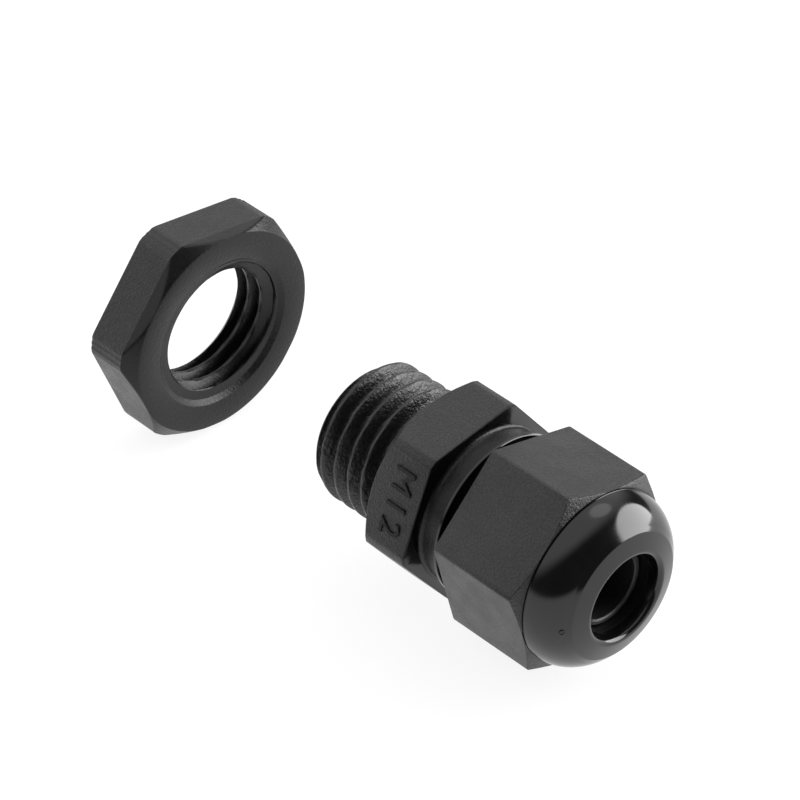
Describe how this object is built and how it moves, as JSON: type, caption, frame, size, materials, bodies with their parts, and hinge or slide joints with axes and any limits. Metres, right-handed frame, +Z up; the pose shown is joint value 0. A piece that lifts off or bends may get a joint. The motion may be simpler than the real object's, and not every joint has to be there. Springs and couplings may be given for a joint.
{
  "type": "cable gland",
  "caption": "Small black nylon cable gland with a round-domed cap nut, a split claw, a rubber seal and a separate hex locknut.",
  "frame": {"origin": "on the gland's axis, in the plane of the body's shoulder, where the panel's face sits", "axes": "+X along the axis towards the dome nut, -X down the entry thread, +Z up as it lies"},
  "size_m": [0.05, 0.02, 0.0192],
  "materials": {
    "black_nylon": "spark-eroded matt moulding",
    "black_nylon_gloss": "moulded, matt flats and a polished dome",
    "claw_nylon": "moulded",
    "seal_rubber": "moulded satin rubber"
  },
  "bodies": {
    "gland_body": {"gland_body": "black_nylon"},
    "claw_ring": {"claw_ring": "claw_nylon"},
    "dome_nut": {"dome_nut": "black_nylon_gloss"},
    "sealing_insert": {"sealing_insert": "seal_rubber"},
    "locknut": {"locknut": "black_nylon"},
    "claw_finger_1": {"claw_finger_1": "claw_nylon"},
    "claw_finger_2": {"claw_finger_2": "claw_nylon"},
    "claw_finger_3": {"claw_finger_3": "claw_nylon"},
    "claw_finger_4": {"claw_finger_4": "claw_nylon"},
    "claw_finger_5": {"claw_finger_5": "claw_nylon"},
    "claw_finger_6": {"claw_finger_6": "claw_nylon"},
    "claw_finger_7": {"claw_finger_7": "claw_nylon"},
    "claw_finger_8": {"claw_finger_8": "claw_nylon"}
  },
  "joints": [
    {"name": "claw_travel", "type": "slide", "parent": "gland_body", "child": "claw_ring", "axis": [1, 0, 0], "range_m": [-0.0009, 0]},
    {"name": "dome_nut_turn", "type": "hinge", "parent": "claw_ring", "child": "dome_nut", "pos_m": [0.012, 0, 0], "axis": [1, 0, 0], "range_deg": [-216.5, 0.5]},
    {"name": "locknut_turn", "type": "hinge", "parent": "gland_body", "child": "sealing_insert", "pos_m": [0.012, 0, 0], "axis": [1, 0, 0], "range_deg": [-1, 5930]},
    {"name": "locknut_travel", "type": "slide", "parent": "sealing_insert", "child": "locknut", "axis": [1, 0, 0], "range_m": [0, 0.0246]},
    {"name": "claw_flex_1", "type": "hinge", "parent": "claw_ring", "child": "claw_finger_1", "pos_m": [0.01546, 0.00467, 0], "axis": [0, 0, 1], "range_deg": [-0.05, 6]},
    {"name": "claw_flex_2", "type": "hinge", "parent": "claw_ring", "child": "claw_finger_2", "pos_m": [0.01546, 0.0033, 0.0033], "axis": [0, -0.7071, 0.7071], "range_deg": [-0.05, 6]},
    {"name": "claw_flex_3", "type": "hinge", "parent": "claw_ring", "child": "claw_finger_3", "pos_m": [0.01546, 0, 0.00467], "axis": [0, -1, 0], "range_deg": [-0.05, 6]},
    {"name": "claw_flex_4", "type": "hinge", "parent": "claw_ring", "child": "claw_finger_4", "pos_m": [0.01546, -0.0033, 0.0033], "axis": [0, -0.7071, -0.7071], "range_deg": [-0.05, 6]},
    {"name": "claw_flex_5", "type": "hinge", "parent": "claw_ring", "child": "claw_finger_5", "pos_m": [0.01546, -0.00467, 0], "axis": [0, 0, -1], "range_deg": [-0.05, 6]},
    {"name": "claw_flex_6", "type": "hinge", "parent": "claw_ring", "child": "claw_finger_6", "pos_m": [0.01546, -0.0033, -0.0033], "axis": [0, 0.7071, -0.7071], "range_deg": [-0.05, 6]},
    {"name": "claw_flex_7", "type": "hinge", "parent": "claw_ring", "child": "claw_finger_7", "pos_m": [0.01546, 0, -0.00467], "axis": [0, 1, 0], "range_deg": [-0.05, 6]},
    {"name": "claw_flex_8", "type": "hinge", "parent": "claw_ring", "child": "claw_finger_8", "pos_m": [0.01546, 0.0033, -0.0033], "axis": [0, 0.7071, 0.7071], "range_deg": [-0.05, 6]}
  ],
  "couplings": [
    {"joint": "dome_nut_turn", "follows": "claw_travel", "rad_per_m": 4188.8},
    {"joint": "locknut_turn", "follows": "locknut_travel", "rad_per_m": 4188.8},
    {"joint": "claw_flex_1", "follows": "claw_travel", "rad_per_m": -114.42},
    {"joint": "claw_flex_2", "follows": "claw_travel", "rad_per_m": -114.42},
    {"joint": "claw_flex_3", "follows": "claw_travel", "rad_per_m": -114.42},
    {"joint": "claw_flex_4", "follows": "claw_travel", "rad_per_m": -114.42},
    {"joint": "claw_flex_5", "follows": "claw_travel", "rad_per_m": -114.42},
    {"joint": "claw_flex_6", "follows": "claw_travel", "rad_per_m": -114.42},
    {"joint": "claw_flex_7", "follows": "claw_travel", "rad_per_m": -114.42},
    {"joint": "claw_flex_8", "follows": "claw_travel", "rad_per_m": -114.42}
  ]
}
